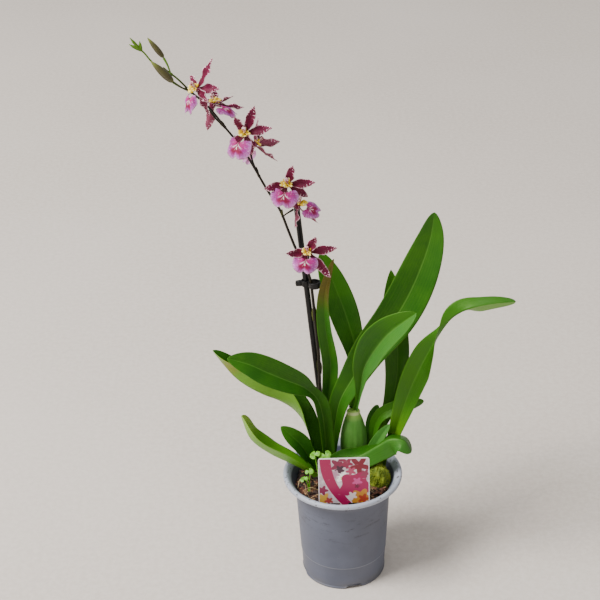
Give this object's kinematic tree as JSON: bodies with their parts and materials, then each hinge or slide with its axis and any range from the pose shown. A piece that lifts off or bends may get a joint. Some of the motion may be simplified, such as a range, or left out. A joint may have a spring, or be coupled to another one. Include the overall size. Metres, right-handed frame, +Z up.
{
  "type": "potted orchid",
  "caption": "Potted Oncidium-type orchid: grey plastic pot of bark, plump pseudobulb, strap leaves, and a staked arching spike of burgundy and lilac flowers.",
  "frame": {"origin": "centre of the pot's underside, on the plane it stands on", "axes": "+Z up the pot's axis; the card faces -Y, which is the side the plant is shown from; the flower spike leans towards -X"},
  "size_m": [0.3423, 0.12, 0.5813],
  "materials": {
    "pot_plastic": "satin thin-wall moulded",
    "bark": "rough loose chips",
    "black_plastic": "satin",
    "printed_card": "glossy print",
    "bulb_skin": "waxy",
    "moss": "matt and tufted",
    "leaf": "waxy, soft gloss",
    "flower_stem": "satin",
    "bud": "satin",
    "petal": "matt velvety",
    "flower_lip": "matt velvety",
    "flower_column": "waxy",
    "seedling": "waxy"
  },
  "bodies": {
    "root": {"pot": "pot_plastic", "bark_mix": "bark", "support_stake": "black_plastic", "plant_tag": "printed_card", "pseudobulb": "bulb_skin", "moss_lump": "moss", "leaf_tall_right": "leaf", "leaf_front_right": "leaf", "leaf_centre_back": "leaf", "leaf_brown_tipped": "leaf", "leaf_left": "leaf", "leaf_left_under": "leaf", "leaf_low_left": "leaf", "leaf_small_left": "leaf", "leaf_arching_right": "leaf", "leaf_back_right": "leaf", "leaf_short_right": "leaf", "leaf_round_stub": "leaf", "leaf_low_front": "leaf", "leaf_short_inner": "leaf", "flower_spike": "flower_stem", "bud_large": "bud", "bud_middle": "bud", "flower_1_sepals_petals": "petal", "flower_1_lip": "flower_lip", "flower_1_column": "flower_column", "flower_2_sepals_petals": "petal", "flower_2_lip": "flower_lip", "flower_2_column": "flower_column", "flower_3_sepals_petals": "petal", "flower_3_lip": "flower_lip", "flower_3_column": "flower_column", "flower_4_sepals_petals": "petal", "flower_4_lip": "flower_lip", "flower_4_column": "flower_column", "flower_5_sepals_petals": "petal", "flower_5_lip": "flower_lip", "flower_5_column": "flower_column", "flower_6_sepals_petals": "petal", "flower_6_lip": "flower_lip", "flower_6_column": "flower_column", "flower_7_sepals_petals": "petal", "flower_7_lip": "flower_lip", "flower_7_column": "flower_column", "stake_clip": "black_plastic", "seedling_back": "seedling", "seedling_front": "seedling"}
  },
  "joints": []
}
